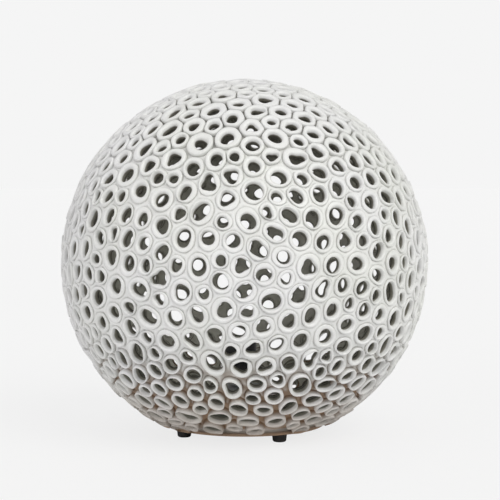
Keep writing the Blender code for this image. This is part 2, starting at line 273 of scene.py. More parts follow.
class Globe(Geometry):
    """What the trees of the globe's wall and of its rings share.

    The globe is about the origin, and its flat base is at z = -Base drop. Points strewn by chance
    are evened out, and each becomes the middle of a cell, with one ring and one hole.
    """

    def __init__(self, name):
        super().__init__(name, GLOBE_INPUTS)
        self.radius = self.given["Radius"]
        self.spot = self.do("InputPosition")
        self.floor = self.times(self.given["Base drop"], -1.0)
        self.hull = self.strew()
        self.cells = self.cut_cells(self.hull)

    def on_sphere(self, geometry, spot=None):
        at = self.scaled(self.unit(spot or self.spot), self.radius)
        return self.do("SetPosition", {"Geometry": geometry, "Position": at})

    def blur(self, value):
        made = self.node("GeometryNodeBlurAttribute", data_type=VECTOR)
        self.join(value, [one for one in made.inputs if one.name == "Value" and one.enabled][0])
        return [one for one in made.outputs if one.enabled][0]

    def strew(self):
        """The net of triangles between the evened points.

        Each step moves every point to the mean of its neighbours, weighed by the space around them.
        """
        ball = self.do("MeshIcoSphere", {"Radius": self.radius, "Subdivisions": 5})
        inputs = {"Mesh": ball, "Distance Min": self.given["Hole spacing"], "Density Max": 60000.0}
        inputs["Seed"] = self.given["Seed"]
        strewn = self.do("DistributePointsOnFaces", inputs, distribute_method="POISSON")
        start = self.node("GeometryNodeRepeatInput")
        stop = self.node("GeometryNodeRepeatOutput")
        start.pair_with_output(stop)
        self.join(self.given["Evening steps"], start.inputs["Iterations"])
        self.join(strewn, start.inputs["Geometry"])
        hull = self.do("ConvexHull", {0: start.outputs["Geometry"]})
        space = self.on("POINT", self.do("InputMeshFaceArea"))
        space = self.math("POWER", self.times(space, 5000.0), 2.0)
        mean = self.blur(self.scaled(self.spot, space))
        self.join(self.on_sphere(hull, mean), stop.inputs["Geometry"])
        return self.do("ConvexHull", {0: stop.outputs["Geometry"]})

    def flat(self, vector):
        """The part of a vector that lies along the surface at the middle of the cell."""
        lift = self.scaled(self.up, self.dot(vector, self.up))
        return self.vector("SUBTRACT", vector, lift)

    def look(self, edge):
        """The way from the cell's middle to edge, and the sines and cosines of its angle there."""
        self.centre = self.read("middle", VECTOR)
        self.up = self.unit(self.centre)
        out = self.flat(self.vector("SUBTRACT", edge, self.centre))
        self.reach = self.vector("LENGTH", out)
        self.way = self.unit(out)
        first = self.unit(self.flat(self.read("luck_a", VECTOR)))
        second = self.vector("CROSS_PRODUCT", self.up, first)
        c = self.dot(self.way, first)
        s = self.dot(self.way, second)
        four = self.times(4.0, self.math("POWER", c, 3.0))
        four_s = self.times(4.0, self.math("POWER", s, 3.0))
        self.turns = {
            "c2": self.times_plus(self.times(c, c), 2.0, -1.0),
            "s2": self.times(self.times(c, s), 2.0),
            "c3": self.times_plus(c, -3.0, four),
            "s3": self.minus(self.times(s, 3.0), four_s),
        }

    def cut_cells(self, hull):
        """Separate cells, each of whose corners knows what it has to know about its cell."""
        cells = self.on_sphere(self.do("DualMesh", {0: hull}))
        cells = self.do("SplitEdges", {0: cells})
        middle = self.unit(self.on("FACE", self.spot, VECTOR))
        middle = self.scaled(middle, self.radius)
        cells = self.store(cells, "middle", middle, VECTOR)
        cells = self.store(cells, "edge", self.spot, VECTOR)
        for name, seed in (("luck_a", 11), ("luck_b", 12), ("luck_c", 13)):
            drawn = self.chance((-1, -1, -1), (1, 1, 1), seed)
            cells = self.store(cells, name, self.on("FACE", drawn, VECTOR), VECTOR)
        area = self.on("FACE", self.do("InputMeshFaceArea"))
        cells = self.store(cells, "size", self.math("SQRT", self.over(area, math.pi)))
        self.look(self.spot)
        cells = self.store(cells, "mean_reach", self.on("FACE", self.on("POINT", self.reach)))
        beyond = self.minus(self.reach, self.read("mean_reach"))
        for name, turn in self.turns.items():
            mean = self.on("FACE", self.on("POINT", self.times(beyond, turn)))
            cells = self.store(cells, name, mean)
        return cells

    def part_cells(self):
        """(cells with a hole, cells that stay whole because they are in the base)"""
        height = self.split(self.on("FACE", self.spot, VECTOR))[2]
        lowest = self.plus(self.floor, LOWEST_HOLE)
        pierced = self.on("FACE", self.math("GREATER_THAN", height, lowest))
        return self.node("GeometryNodeSeparateGeometry", {0: self.cells, 1: pierced}, domain="FACE").outputs

    def shape(self):
        """Works out each cell's ring and hole, as seen from a point's own direction."""
        g = self
        g.edge = g.scaled(g.unit(g.read("edge", VECTOR)), g.radius)
        g.look(g.edge)
        luck = g.split(g.read("luck_c", VECTOR))

        # How high on the globe, and how deep the ground lies between its rings there
        g.high = g.over(g.split(g.edge)[2], g.radius)
        to_top = g.ramp(g.high, 0.30, 0.85)
        to_base = g.ramp(g.high, -0.25, -0.72)
        g.deep = g.times_plus(to_top, 0.72, to_base)
        near = {0: g.hull, "Sample Position": g.edge}
        near = g.node("GeometryNodeProximity", near, target_element="POINTS").outputs["Distance"]
        g.corner = g.ramp(near, 0.0110, 0.0142)

        # The ring follows its cell: its size, its long way and, less, its three-cornered way
        share = g.times_plus(to_top, 0.145, g.given["Ring share"])
        share = g.times_plus(to_base, -0.085, share)
        share = g.times(share, g.times_plus(luck[2], 0.03, 1.0))
        ring = g.times(g.read("size"), share)
        for name, turn in g.turns.items():
            follow = 1.7 if name[1] == "2" else 0.9
            ring = g.times_plus(g.times(g.read(name), turn), follow, ring)
        most = g.times(g.reach, g.times_plus(to_top, -0.03, 0.985))
        g.ring_reach = g.math("SMOOTH_MIN", ring, most, 0.0006)

        share = g.times_plus(to_top, -0.185, g.given["Hole share"])
        share = g.times_plus(to_base, 0.13, share)
        share = g.times(share, g.times_plus(luck[0], 0.11, 1.0))
        oval = g.times_plus(luck[1], 0.14, 0.05)
        share = g.times(share, g.times_plus(g.turns["c2"], oval, 1.0))
        drop = g.times(g.math("POWER", luck[2], 3.0), 0.20)
        share = g.times(share, g.times_plus(g.turns["c3"], drop, 1.0))
        g.hole_reach = g.times(ring, share)
        g.slip = g.flat(g.read("luck_b", VECTOR))
        lift = g.times_plus(luck[1], 0.3, 1.0)
        lift = g.times_plus(g.dot(g.way, g.slip), 0.5, lift)
        lift = g.times(lift, g.ramp(to_top, 0.0, 1.0, 1.0, 0.8))
        g.lip_height = g.times(g.given["Ring height"], lift)

    def place(self, inward, at_edge, stand):
        """Where a point goes: inward from ring to hole, at_edge towards the cell's edge, and outward."""
        g = self
        along = g.mix(inward, g.ring_reach, g.hole_reach)
        slip = g.scaled(g.slip, g.times(inward, 0.0012))
        spot = g.vector("ADD", g.vector("ADD", g.centre, g.scaled(g.way, along)), slip)
        if at_edge is not None:
            spot = g.mix_vector(at_edge, spot, g.edge)
        wander = g.noise(spot, 42.0, 1.0)
        wander = g.times_plus(wander, 0.0026, -0.0013)
        out = g.plus(g.radius, g.plus(stand, wander))
        return g.scaled(g.unit(spot), out)


def wall_tree():
    """The globe's wall, with a hole under each ring, and its flat base with the access hole.

    The attribute t counts from 0, at a cell's outer edge, in and down through the hole to 4, and back
    along the inside of the wall to 6.
    """
    g = Globe("globe_wall")
    parts = g.part_cells()
    ring = g.store(parts[0], "t", 0.0)
    outside = g.store(parts[1], "t", 0.0)
    inside = g.do("FlipFaces", {0: parts[1]})
    inside = g.store(inside, "t", 6.0)
    top = None
    for step in (1, 2, 3):
        push = g.node("GeometryNodeExtrudeMesh", {"Mesh": ring, "Offset Scale": 0.0}, mode="FACES")
        push.inputs["Individual"].default_value = True
        if top is not None:
            g.join(top, push.inputs["Selection"])
        top = push.outputs["Top"]
        ring = g.store(push.outputs["Mesh"], "t", 2.0 * step, selection=top)
    ring = g.do("DeleteGeometry", {0: ring, 1: top}, domain="FACE")
    body = g.do("JoinGeometry", {0: [ring, outside, inside]})
    body = g.do("SubdivideMesh", {0: body, "Level": 1})

    g.shape()
    t = g.over(g.read("t"), 6.0)
    inward = g.profile(t, 0, 0, 0.34, 0.55, 0.5, 0.5, 0.5)
    at_edge = g.profile(t, 1, 0.40, 0, 0, 0, 0.55, 1)
    ground = g.profile(t, 1, 0.5, 0, 0, 0, 0, 0)
    near_foot = g.profile(t, 0, 0.4, 1, 0, 0, 0, 0)
    sunk = g.profile(t, 0, 0, 0.1, 0.6, 1, 1, 1)
    valley = g.times(g.times(g.deep, g.given["Valley depth"]), g.mix(g.corner, 0.75, 1.0))
    foot = g.times_plus(g.deep, g.times(g.given["Valley depth"], 0.85), 0.0012)
    stand = g.times(ground, g.times(valley, -1.0))
    stand = g.minus(stand, g.times(near_foot, foot))
    stand = g.minus(stand, g.times(sunk, g.given["Wall"]))
    body = g.store(body, "sunk", sunk)
    body = g.store(body, "groove", near_foot)
    gap = g.times_plus(ground, g.mix(g.corner, 0.55, 1.0), near_foot)
    body = g.store(body, "gap", g.times(g.deep, gap))
    spot = g.place(inward, at_edge, stand)
    body = g.do("SetPosition", {"Geometry": body, "Position": spot})
    body = g.do("MergeByDistance", {0: body, "Distance": 2e-5})

    def drum(radius, x, y, z, depth, sides, top_radius=None):
        inputs = {"Vertices": sides, "Depth": depth, "Radius Bottom": radius}
        inputs["Radius Top"] = radius if top_radius is None else top_radius
        return g.do("Transform", {0: g.do("MeshCone", inputs), "Translation": g.point(x, y, z)})

    under = g.minus(g.floor, 0.0004)
    plate = drum(PLATE_RADIUS, 0.0, 0.0, under, 0.0075, 128)
    rim = drum(0.0868, 0.0, 0.0, under, 0.0036, 160, 0.0885)
    solid = g.do("MeshBoolean", {"Mesh 2": [body, plate, rim]}, operation="UNION", solver="MANIFOLD")
    cutters = [drum(0.3, 0.0, 0.0, g.minus(g.floor, 0.1), 0.1, 64)]
    below = g.minus(g.floor, 0.015)
    cutters.append(drum(g.given["Access radius"], g.given["Access x"], 0.0, below, 0.03, 96))
    for x, y in FIXINGS:
        cutters.append(drum(g.given["Bore radius"], x, y, below, 0.03, 24))
    both = {"Mesh 1": solid, "Mesh 2": cutters}
    g.finish(g.do("MeshBoolean", both, operation="DIFFERENCE", solver="MANIFOLD"), g.given["Material"])
    return g


RING_AROUND = 26
RING_SECTION = 12


def ring_tree():
    """The rings round the holes: short rolled tubes of clay, each pressed into its cell of the wall.

    From its first point, buried outside, a ring's section goes up the flank, over the lip with its two
    fine ridges, down to the hole's narrowest place, on to its wider inner end and back under the wall.
    Band low and Band high pick the rings by their height.
    """
    g = Globe("globe_rings")
    cells = g.part_cells()[0]
    height = g.split(g.on("FACE", g.spot, VECTOR))[2]
    wanted = g.math("GREATER_THAN", height, g.given["Band low"])
    wanted = g.times(wanted, g.math("LESS_THAN", height, g.given["Band high"]))
    cells = g.do("SeparateGeometry", {0: cells, 1: g.on("FACE", wanted)}, domain="FACE")
    loops = g.do("MeshToCurve", {"Mesh": cells})
    loops = g.do("ResampleCurve", {"Curve": loops, "Count": RING_AROUND})
    section = g.do("CurvePrimitiveCircle", {"Resolution": RING_SECTION, "Radius": 0.001})
    index = g.do("InputIndex")
    section = g.store(section, "s", g.over(index, float(RING_SECTION - 1)))
    body = g.do("CurveToMesh", {"Curve": loops, "Profile Curve": section})

    g.shape()
    s = g.read("s")
    inward = g.profile(s, 0.06, 0.0, 0.04, 0.15, 0.31, 0.48, 0.68, 0.88, 1.0, 0.95, 0.82, 0.56)
    lip = g.profile(s, 0, 0, 0.50, 0.94, 0.80, 1.0, 0.74, 0.15, 0, 0, 0, 0)
    buried = g.profile(s, 1, 0, 0, 0, 0, 0, 0, 0, 0, 0, 0, 0)
    sunk = g.profile(s, 0.30, 0.0, 0, 0, 0, 0, 0, 0.02, 0.26, 0.60, 1.03, 0.86)
    foot = g.times_plus(g.deep, g.times(g.given["Valley depth"], 0.9), 0.0012)
    flank = g.profile(s, 1, 1, 0.18, 0, 0, 0, 0, 0, 0, 0, 0, 0)
    stand = g.times(lip, g.lip_height)
    stand = g.minus(stand, g.times(flank, foot))
    stand = g.minus(stand, g.times(buried, 0.0008))
    stand = g.minus(stand, g.times(sunk, g.given["Wall"]))
    body = g.store(body, "sunk", sunk)
    body = g.store(body, "groove", flank)
    body = g.store(body, "gap", g.times(g.deep, flank))
    parts = g.split(g.place(inward, None, stand))
    lowest = g.math("MAXIMUM", parts[2], g.plus(g.floor, 0.0002))
    spot = g.point(parts[0], parts[1], lowest)
    body = g.do("SetPosition", {"Geometry": body, "Position": spot})
    g.finish(body, g.given["Material"])
    return g


KEPT = ("sunk", "groove", "gap", "position", "material_index", "sharp_face")


def settle(piece):
    """Lifts a piece of the globe to its height, and drops what only its making needed."""
    for name in [a.name for a in piece.data.attributes]:
        if not name.startswith(".") and name not in KEPT:
            piece.data.attributes.remove(piece.data.attributes[name])
    piece.data.transform(Matrix.Translation((0, 0, CENTRE)))


UPPER_BAND = 0.074
LOWER_BAND = -0.049
rings = ring_tree()
GLOBE_PIECES = (
    grow("globe_wall", wall_tree(), Access_x=AXIS_X),
    grow("upper_rings", rings, Band_low=UPPER_BAND),
    grow("middle_rings", rings, Band_low=LOWER_BAND, Band_high=UPPER_BAND),
    grow("lower_rings", rings, Band_high=LOWER_BAND),
)
for piece in GLOBE_PIECES:
    settle(piece)


# ---------------------------------------------------------------- turned pieces

TURNED_INPUTS = [
    ("Outline", "Geometry", None),
    ("Steps", "Int", 64),
    ("Closed", "Bool", True),
    ("Thread pitch", "Float", 0.001),
    ("Thread depth", "Float", 0.0),
    ("Thread low", "Float", -1.0),
    ("Thread high", "Float", 1.0),
    ("Knurls", "Int", 0),
    ("Knurl depth", "Float", 0.0),
    ("Knurl from", "Float", 1.0),
    ("Flats across", "Float", 10.0),
    ("Material", "Material", None),
]


def turned_tree():
    """Turns an outline of points, (radius, 0, height), about Z.

    Where the heights allow it, a thread runs round the outline's points. Past the radius Knurl from,
    ridges run round them. Flats across cuts the whole to a hexagon.
    """
    g = Geometry("turned_piece", TURNED_INPUTS)
    outline = g.given["Outline"]
    count = g.node("GeometryNodeAttributeDomainSize", {0: outline}).outputs["Point Count"]
    rows = g.plus(count, g.given["Closed"])
    columns = g.plus(g.given["Steps"], 1)
    grid = g.do("MeshGrid", {"Size X": 1.0, "Size Y": 1.0, "Vertices X": columns, "Vertices Y": rows})
    where = g.split(g.do("InputPosition"))
    column = g.math("ROUND", g.times(g.plus(where[0], 0.5), g.given["Steps"]))
    row = g.math("ROUND", g.times(g.plus(where[1], 0.5), g.minus(rows, 1)))
    row = g.math("MODULO", row, count)
    wanted = {0: outline, "Value": g.do("InputPosition"), "Index": row}
    radius, _, height = g.split(g.do("SampleIndex", wanted, data_type=VECTOR))
    turn = g.times(g.over(column, g.given["Steps"]), 2 * math.pi)

    wave = g.times(g.over(height, g.given["Thread pitch"]), 2 * math.pi)
    wave = g.math("COSINE", g.minus(wave, turn))
    pitch = g.given["Thread pitch"]
    fade = g.ramp(height, g.given["Thread low"], g.plus(g.given["Thread low"], pitch))
    ending = g.ramp(height, g.minus(g.given["Thread high"], pitch), g.given["Thread high"], 1.0, 0.0)
    depth = g.times(g.given["Thread depth"], g.times(fade, ending))
    radius = g.times_plus(g.minus(wave, 1.0), g.times(depth, 0.5), radius)

    ridge = g.math("COSINE", g.times(turn, g.given["Knurls"]))
    past = g.ramp(radius, g.given["Knurl from"], g.plus(g.given["Knurl from"], 0.0003))
    ridge = g.times(g.minus(ridge, 1.0), g.times(g.given["Knurl depth"], 0.5))
    radius = g.times_plus(ridge, past, radius)

    sixth = math.pi / 3
    within = g.minus(g.math("MODULO", turn, sixth), sixth / 2)
    flat = g.over(g.times(g.given["Flats across"], 0.5), g.math("COSINE", within))
    radius = g.math("MINIMUM", radius, flat)

    x = g.times(radius, g.math("COSINE", turn))
    y = g.times(radius, g.math("SINE", turn))
    body = g.do("SetPosition", {"Geometry": grid, "Position": g.point(x, y, height)})
    body = g.do("MergeByDistance", {0: body, "Distance": 2e-6})
    g.finish(body, g.given["Material"])
    return g


TURNED = turned_tree()


def rounded(points, closed=True, amount=0.3):
    """An outline in millimetres with its corners rounded by amount, or by a third value in a point."""
    result = []
    count = len(points)
    for k, point in enumerate(points):
        here = Vector(point[:2])
        size = point[2] if len(point) > 2 else amount
        ends = not closed and k in (0, count - 1)
        if ends or size <= 0:
            result.append(tuple(here))
            continue
        before, after = Vector(points[k - 1][:2]), Vector(points[(k + 1) % count][:2])
        back, on = before - here, after - here
        size = min(size, back.length * 0.45, on.length * 0.45)
        start, end = here + back.normalized() * size, here + on.normalized() * size
        for t in (0, 1 / 3, 2 / 3, 1):
            result.append(tuple(start * (1 - t) ** 2 + here * (2 * t * (1 - t)) + end * t**2))
    return result


def arc(centre, radius, start, end, steps):
    for k in range(steps + 1):
        turn = math.radians(start + (end - start) * k / steps)
        yield (centre[0] + radius * math.cos(turn), centre[1] + radius * math.sin(turn))


def in_steps(start, end, steps):
    """Points from start to end, both included."""
    first, last = Vector(start), Vector(end)
    return [tuple(first.lerp(last, k / steps)) for k in range(steps + 1)]


def tidy_faces(piece):
    """Makes all faces point outward and keeps real corners sharp."""
    shape = bmesh.new()
    shape.from_mesh(piece.data)
    bmesh.ops.dissolve_degenerate(shape, dist=1e-7, edges=shape.edges)
    bmesh.ops.recalc_face_normals(shape, faces=shape.faces)
    if shape.calc_volume(signed=True) < 0:
        bmesh.ops.reverse_faces(shape, faces=shape.faces)
    for edge in shape.edges:
        edge.smooth = edge.calc_face_angle(0.0) < math.radians(38)
    shape.to_mesh(piece.data)
    shape.free()


def turn(name, outline, at, closed=True, steps=64, holes=(), **values):
    """A turned piece from an outline in millimetres above the base, about an axis at `at`.

    Without closed, the outline starts and ends on the axis. Each hole is (x, y, radius) in metres.
    """
    line = bpy.data.meshes.new(name + "_outline")
    line.from_pydata([(r * MM, 0, z * MM) for r, z in outline], [], [])
    piece = grow(name, TURNED, source=line, Steps=steps, Closed=closed, **values)
    piece.data.transform(Matrix.Translation((at[0], at[1], BASE_PLANE)))
    for x, y, radius in holes:
        drill(piece, x, y, radius)
    tidy_faces(piece)
    return piece


def drill(piece, x, y, radius):
    shape = bmesh.new()
    bmesh.ops.create_cone(shape, cap_ends=True, segments=40, radius1=radius, radius2=radius, depth=0.05)
    bmesh.ops.translate(shape, vec=(x, y, BASE_PLANE), verts=shape.verts)
    tool = add_mesh("drill", shape)
    cut = piece.modifiers.new("hole", "BOOLEAN")
    cut.object = tool
    cut.operation = "DIFFERENCE"
    cut.solver = "EXACT"
    result = result_of(piece)
    piece.modifiers.clear()
    piece.data = result
    bpy.data.objects.remove(tool, do_unlink=True)


AXIS = (AXIS_X, AXIS_Y)


def sheet_outline(line, thickness):
    """Both faces of a sheet whose middle follows line."""
    points = [Vector(p) for p in line]
    left, right = [], []
    for k, point in enumerate(points):
        along = points[min(k + 1, len(points) - 1)] - points[max(k - 1, 0)]
        side = Vector((-along.y, along.x)).normalized() * (thickness / 2)
        left.append(tuple(point + side))
        right.append(tuple(point - side))
    return left + right[::-1]


def make_pan():
    """The pressed pan, with a shallow ring pressed into its top and a bead in its wall."""
    bend = 4.0
    slope = math.degrees(math.atan2(40.2 - 26.0, 41.4 + 2.4))
    line = in_steps((5.6, 41.4), (13.6, 41.4), 3)
    line += [(14.4, 41.2), (15.0, 40.8), (15.6, 40.6)]
    line += [(17.4, 40.6), (18.0, 40.8), (18.6, 41.2), (19.4, 41.4)]
    line += list(arc((26.0 - bend, 41.4 - bend), bend, 90, slope, 8))
    foot = list(arc((40.2 + bend, -2.4 + bend), bend, 180 + slope, 270, 8))
    top, low = Vector(line[-1]), Vector(foot[0])
    side = Vector((low.y - top.y, top.x - low.x)).normalized()
    for k in range(1, 40):
        share = k / 40
        press = 0.6 * max(0.0, math.cos((share - 0.5) * 40.0)) ** 2 if abs(share - 0.5) < 0.04 else 0.0
        line.append(tuple(top.lerp(low, share) + side * press))
    line += foot + in_steps((46.0, -2.4), (59.6, -2.4), 4)
    holes = [(x, y, 2.6 * MM) for x, y in FIXINGS]
    return turn("pressed_pan", sheet_outline(line, 1.2), AXIS, steps=128, holes=holes)


def make_turned_pieces():
    made = {}
    made["pan"] = make_pan()
    outline = rounded([(59.4, -0.3), (59.4, -1.5), (45.0, -1.5), (45.0, -0.3)], amount=0.4)
    holes = [(x, y, 6.4 * MM) for x, y in FIXINGS]
    made["gasket"] = turn("foam_gasket", outline, AXIS, steps=96, holes=holes)
    for number, at in enumerate(FIXINGS, 1):
        head = [(0, 11.0), (1.35, 11.0, 0), (1.95, 10.4, 0)]
        head += in_steps((1.95, 10.2), (1.95, -2.9), 112)
        head += [(1.95, -3.3, 0), (5.5, -3.3, 0.25), (6.0, -3.8, 0.2), (6.0, -5.8, 0.2), (5.5, -6.3, 0.25)]
        head += [(3.2, -6.3, 0.2), (2.8, -6.0, 0.2), (0, -6.0)]
        made[f"thumb_{number}"] = turn(
            f"knurled_screw_{number}",
            rounded(head, closed=False, amount=0),
            at,
            closed=False,
            steps=96,
            Thread_pitch=0.7 * MM,
            Thread_depth=0.28 * MM,
            Thread_low=-2.6 * MM,
            Thread_high=10.8 * MM,
            Knurls=32,
            Knurl_depth=0.3 * MM,
            Knurl_from=5.55 * MM,
        )
        sleeve = [(4.45, 12.0), (4.45, -0.3), (6.0, -0.3), (6.0, -1.4)]
        sleeve += [(2.3, -1.4), (2.3, 5.7), (3.3, 5.7), (3.3, 12.0)]
        sleeve = rounded(sleeve, amount=0.25)
        made[f"sleeve_{number}"] = turn(f"well_nut_rubber_{number}", sleeve, at, steps=40)
        nut = rounded([(3.0, 11.6), (3.0, 6.0), (2.25, 6.0), (2.25, 11.6)], amount=0.2)
        made[f"insert_{number}"] = turn(f"well_nut_brass_{number}", nut, at, steps=40)
    tube = [(4.9, 55.5, 0)] + in_steps((4.9, 55.3), (4.9, 30.7), 200) + [(4.9, 30.5, 0), (4.5, 30.0, 0)]
    tube += [(3.95, 30.0, 0), (3.75, 30.2, 0), (3.75, 55.8, 0), (3.95, 56.0, 0), (4.5, 56.0, 0)]
    made["tube"] = turn(
        "threaded_pipe",
        rounded(tube, amount=0),
        AXIS,
        steps=48,
        Thread_pitch=1.0 * MM,
        Thread_depth=0.5 * MM,
        Thread_low=30.0 * MM,
        Thread_high=56.0 * MM,
    )
    washer = [(10.5, 43.4), (10.5, 42.3), (5.2, 42.3), (5.2, 43.4)]
    made["washer"] = turn("flat_washer", rounded(washer, amount=0.2), AXIS, steps=64)
    for name, low, high in (("top_hex_nut", 43.7, 47.1), ("under_hex_nut", 35.6, 39.1)):
        nut = [(5.2, low + 0.5), (5.7, low), (7.0, low), (8.2, low + 0.7), (8.2, high - 0.7), (7.0, high)]
        nut += [(5.7, high), (5.2, high - 0.5)]
        nut = nut[:3] + in_steps(nut[3], nut[4], 6) + nut[5:]
        made[name] = turn(name, nut, AXIS, steps=96, Flats_across=14.0 * MM)
    bushing = [(6.6, 29.7), (6.6, 28.1, 0.8), (5.9, 27.4, 0.6), (3.6, 27.4, 0.9)]
    bushing += [(3.1, 28.4), (3.1, 36.0, 0.1), (3.45, 36.0, 0.1), (3.45, 29.7, 0.1)]
    made["bushing"] = turn("end_bushing", rounded(bushing, amount=0.3), AXIS, steps=64)
    return made


def make_lampholder():
    made = {}
    # The cap: a dome, and a band of ridges for the fingers below the joint
    dome = [(8.0 + 10.0 * x, 60.0 - 9.5 * y) for y, x in arc((0, 0), 1.0, 0, 90, 14)]
    hollow = [(8.0 + 8.0 * x, 61.0 - 7.6 * y) for y, x in arc((0, 0), 1.0, 0, 90, 10)]
    outline = [(17.5, 67.0), (18.0, 66.9), (18.0, 66.4), (18.0, 61.2)] + dome[::-1]
    outline += [(8.0, 47.7), (7.7, 47.4), (5.4, 47.4), (5.2, 47.6), (5.2, 53.4)] + hollow
    outline += [(16.5, 62.5), (16.5, 67.0)]
    clean = []
    for point in outline:
        if not clean or (Vector(point) - Vector(clean[-1])).length > 0.05:
            clean.append(point)
    ridges = {"Knurls": 40, "Knurl_depth": 0.5 * MM, "Knurl_from": 17.7 * MM}
    made["cap"] = turn("holder_lower_cap", clean, AXIS, steps=120, **ridges)
    rim = 1.1
    body = list(arc((18.0 - rim, 95.0 - rim), rim, 135, 0, 6))
    body += [(18.0, 92.0), (17.7, 91.8), (17.7, 91.2), (18.0, 91.0)]
    body += [(18.0, 70.4), (17.6, 70.2), (17.6, 69.6), (18.0, 69.4)]
    body += [(18.0, 67.5), (17.8, 67.3), (16.2, 67.3), (16.2, 63.7)]
    body += [(16.0, 63.5), (15.6, 63.5), (15.6, 94.2)]
    made["body"] = turn("holder_skirt", body, AXIS, steps=96)
    disc = [(0, 64.0), (14.8, 64.0), (15.2, 64.4), (15.2, 71.5), (14.7, 72.0), (0, 72.0)]
    holes = [(AXIS_X + x * MM, AXIS_Y, 1.45 * MM) for x in (10.2, -5.0)]
    made["disc"] = turn("porcelain_disc", disc, AXIS, closed=False, steps=80, holes=holes)
    low, top = 75.0, 93.2
    shell = [(8.0, 72.3), (13.1, 72.3), (13.5, 72.5), (13.7, 72.9)]
    shell += in_steps((13.95, low), (13.95, top), 100)
    shell += [(13.8, 93.4), (13.65, 93.4)] + in_steps((13.5, top), (13.5, low), 100)
    shell += [(13.25, 73.1), (13.1, 72.85), (12.9, 72.75), (8.0, 72.75)]
    made["shell"] = turn(
        "threaded_shell",
        shell,
        AXIS,
        steps=80,
        holes=[(AXIS_X + 10.2 * MM, AXIS_Y, 1.45 * MM)],
        Thread_pitch=3.62 * MM,
        Thread_depth=1.05 * MM,
        Thread_low=low * MM,
        Thread_high=94.5 * MM,
    )
    return made


FEET = ("back_right", "back_left", "front_left", "front_right")


def make_feet():
    made = {}
    outline = [(0, -0.3), (7.6, -0.3), (8.0, -0.7), (7.3, -6.8)]
    outline += list(arc((5.1, -6.8), 2.2, -10, -85, 8)) + [(4.4, -9.0), (1.2, -9.0), (0, -8.7)]
    for name in FEET:
        low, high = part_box("foot_" + name)
        at = ((low.x + high.x) / 2, (low.y + high.y) / 2)
        made[name] = turn("rubber_foot_" + name, outline, at, closed=False, steps=72)
    return made


PIECES = {**make_turned_pieces(), **make_lampholder(), **make_feet()}

# ---------------------------------------------------------------- materials


class Finish(Tree):
    """A material's node tree, with its Principled BSDF."""

    def __init__(self, name, **values):
        self.material = bpy.data.materials.new(name)
        self.material.use_nodes = True
        super().__init__(self.material.node_tree)
        self.shader = self.tree.nodes["Principled BSDF"]
        for key, value in values.items():
            self.shader.inputs[key.replace("_", " ")].default_value = value
        self.place = self.node("ShaderNodeTexCoord").outputs["Object"]

    def attribute(self, name):
        return self.node("ShaderNodeAttribute", attribute_name=name).outputs["Fac"]

    def set(self, **values):
        for key, value in values.items():
            self.join(value, self.shader.inputs[key.replace("_", " ")])

    def bump(self, height, distance, strength):
        made = self.node("ShaderNodeBump", {"Height": height, "Distance": distance, "Strength": strength})
        self.join(made.outputs[0], self.shader.inputs["Normal"])

    def film(self, group, inputs):
        return self.node("ShaderNodeGroup", inputs, node_tree=group).outputs[0]

    def grain(self, scale, pits):
        return self.film(GRAIN, {"Scale": scale, "Pits": pits})

    def wear(self, width, patches):
        return self.film(WEAR, {"Width": width, "Patches": patches})

    def dust(self, patches, amount):
        return self.film(DUST, {"Patches": patches, "Amount": amount})


def shader_group(name, inputs, build):
    """A node group that works out one value, with named inputs."""
    group = bpy.data.node_groups.new(name, "ShaderNodeTree")
    for label, value in inputs:
        socket = group.interface.new_socket(label, in_out="INPUT", socket_type="NodeSocketFloat")
        socket.default_value = value
    group.interface.new_socket("Value", in_out="OUTPUT", socket_type="NodeSocketFloat")
    g = Tree(group)
    given = group.nodes.new("NodeGroupInput").outputs
    place = g.node("ShaderNodeTexCoord").outputs["Object"]
    g.node("NodeGroupOutput", {0: build(g, given, place)})
    return group


def build_grain(g, given, place):
    """Fine unevenness about 0.5: noise with small pits in it."""
    fine = g.noise(place, given["Scale"], 4.0, 0.6)
    cells = g.node("ShaderNodeTexVoronoi", {"Vector": place, "Scale": g.times(given["Scale"], 1.7)})
    pits = g.times(g.ramp(cells.outputs["Distance"], 0.05, 0.28, 1.0, 0.0), given["Pits"])
    return g.minus(fine, pits)


def build_wear(g, given, place):
    """1 on edges that are rubbed, 0 elsewhere."""
    round_normal = g.node("ShaderNodeBevel", {"Radius": given["Width"]}, samples=6).outputs[0]
    normal = g.node("ShaderNodeNewGeometry").outputs["Normal"]
    bend = g.minus(1.0, g.dot(round_normal, normal))
    bend = g.times(bend, g.ramp(g.noise(place, given["Patches"], 3.0), 0.3, 0.65, 0.2, 1.0))
    return g.ramp(bend, 0.02, 0.16)


def build_dust(g, given, place):
    """1 where dust lies: on faces that look up, in soft patches."""
    normal = g.node("ShaderNodeNewGeometry").outputs["Normal"]
    up = g.ramp(g.split(normal)[2], 0.35, 0.98)
    lies = g.times(up, g.ramp(g.noise(place, given["Patches"], 5.0, 0.65), 0.25, 0.75))
    return g.times(lies, given["Amount"])


GRAIN = shader_group("fine_grain", [("Scale", 400.0), ("Pits", 0.0)], build_grain)
WEAR = shader_group("edge_wear", [("Width", 0.0004), ("Patches", 90.0)], build_wear)
DUST = shader_group("dust_film", [("Patches", 60.0), ("Amount", 0.4)], build_dust)


